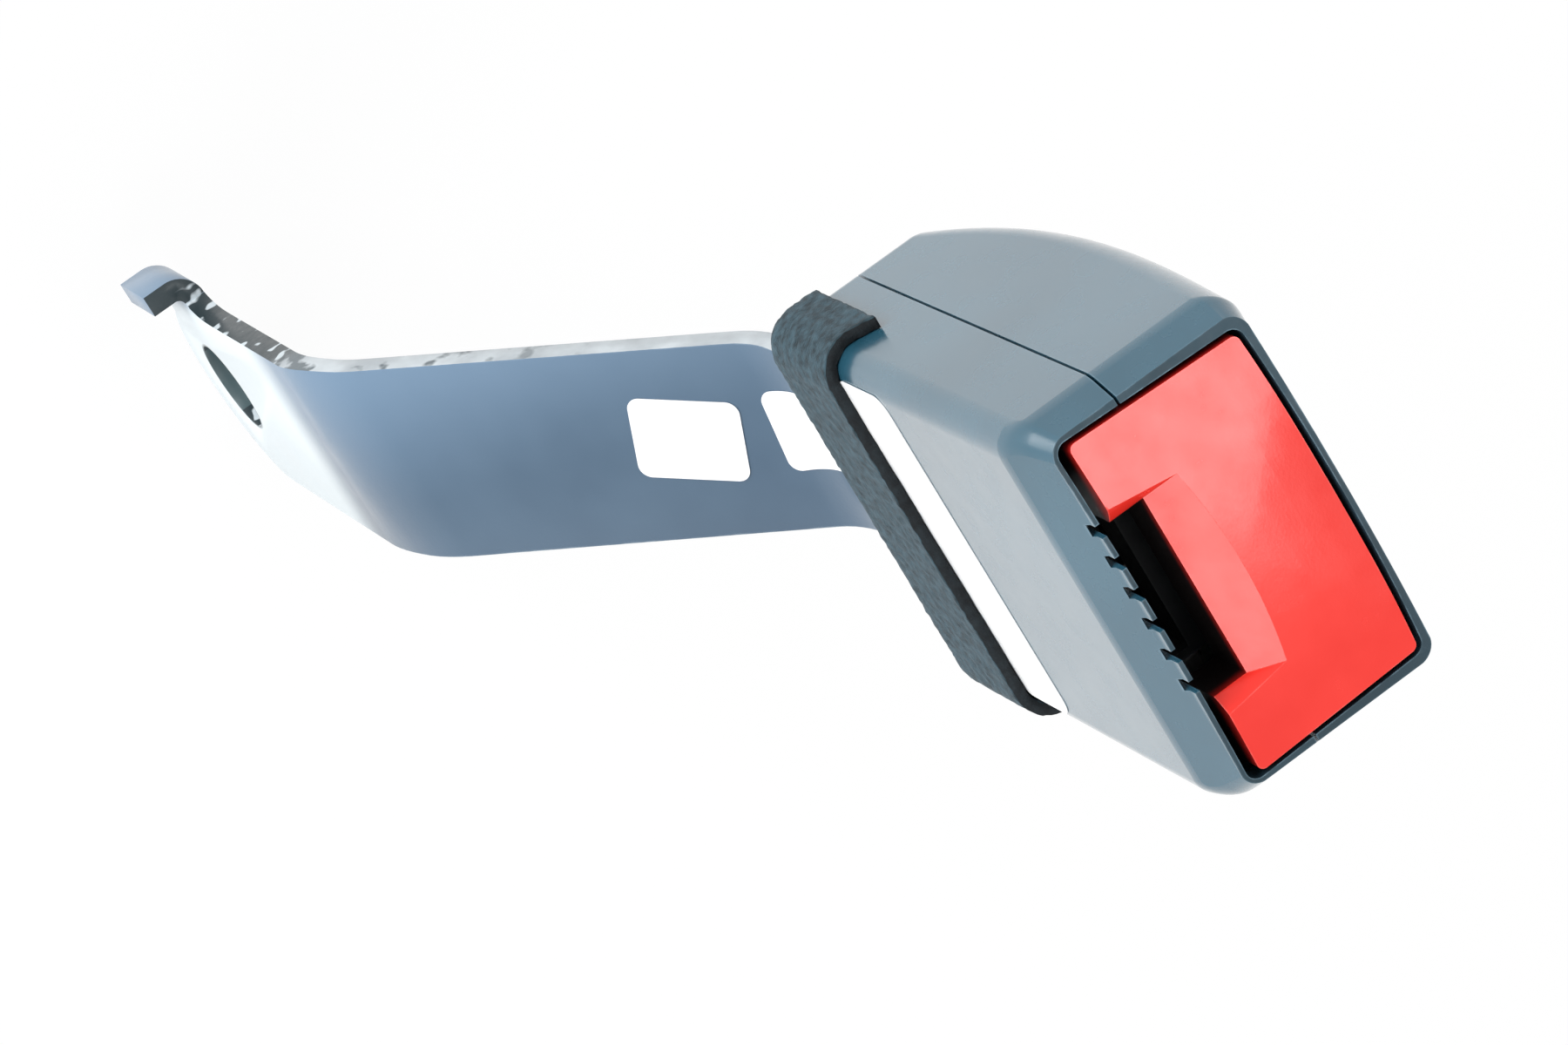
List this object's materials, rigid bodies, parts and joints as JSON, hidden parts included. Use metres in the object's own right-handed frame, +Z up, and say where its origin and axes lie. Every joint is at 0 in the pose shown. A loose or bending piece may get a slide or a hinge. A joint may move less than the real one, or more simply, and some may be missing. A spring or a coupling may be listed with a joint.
{
  "type": "seat belt buckle",
  "caption": "Seat belt buckle head with a push button, tongue slot and spring latch, riveted to a rigid cranked steel strap with an anchor hole and a locating lug.",
  "frame": {"origin": "centre of the anchor bolt hole on the mounting face of the strap", "axes": "+Z up the strap to the mouth of the buckle head, +Y away from the mounting face, +X across the strap towards the side that the head is offset to"},
  "size_m": [0.0649, 0.0753, 0.2164],
  "materials": {
    "coated_steel": "dark blue-grey electrocoat on sheet steel",
    "casing_plastic": "light grey-blue moulded plastic, fine texture",
    "red_plastic": "bright red moulded plastic, satin",
    "black_plastic": "black moulded plastic",
    "plated_steel": "zinc-plated pressed steel",
    "spring_steel": "bright spring wire",
    "felt": "dark grey fuzzy felt",
    "foam": "closed-cell foam"
  },
  "bodies": {
    "housing": {"anchor_strap": "coated_steel", "slot_side_shell": "casing_plastic", "button_side_shell": "casing_plastic", "latch_frame": "plated_steel", "frame_rivets": "plated_steel", "pawl_pin": "plated_steel", "pawl_spring": "spring_steel", "spring_seat": "black_plastic", "tongue_guide": "black_plastic", "felt_wrap": "felt", "strap_grommet": "black_plastic", "frame_pad_left": "foam", "frame_pad_right": "foam", "button_spring_left": "spring_steel", "button_spring_right": "spring_steel", "ejector_spring": "spring_steel"},
    "button": {"release_button": "red_plastic", "lock_slide": "plated_steel", "lock_pin": "plated_steel"},
    "pawl": {"latch_pawl": "plated_steel"},
    "ejector": {"ejector": "black_plastic"}
  },
  "joints": [
    {"name": "button_press", "type": "slide", "parent": "housing", "child": "button", "axis": [0, 0, -1], "range_m": [0, 0.0055], "stiffness_N_per_m": 900, "springref_m": -0.004, "deforming": ["button_spring_left", "button_spring_right"]},
    {"name": "ejector_slide", "type": "slide", "parent": "housing", "child": "ejector", "axis": [0, 0, -1], "range_m": [0, 0.012], "stiffness_N_per_m": 500, "springref_m": -0.006, "deforming": ["ejector_spring"]},
    {"name": "pawl_swing", "type": "hinge", "parent": "housing", "child": "pawl", "pos_m": [0.019, 0.0535, 0.15], "axis": [1, 0, 0], "range_deg": [0, 16]}
  ],
  "couplings": [
    {"joint": "pawl_swing", "follows": "ejector_slide", "rad_per_m": 23.271}
  ]
}
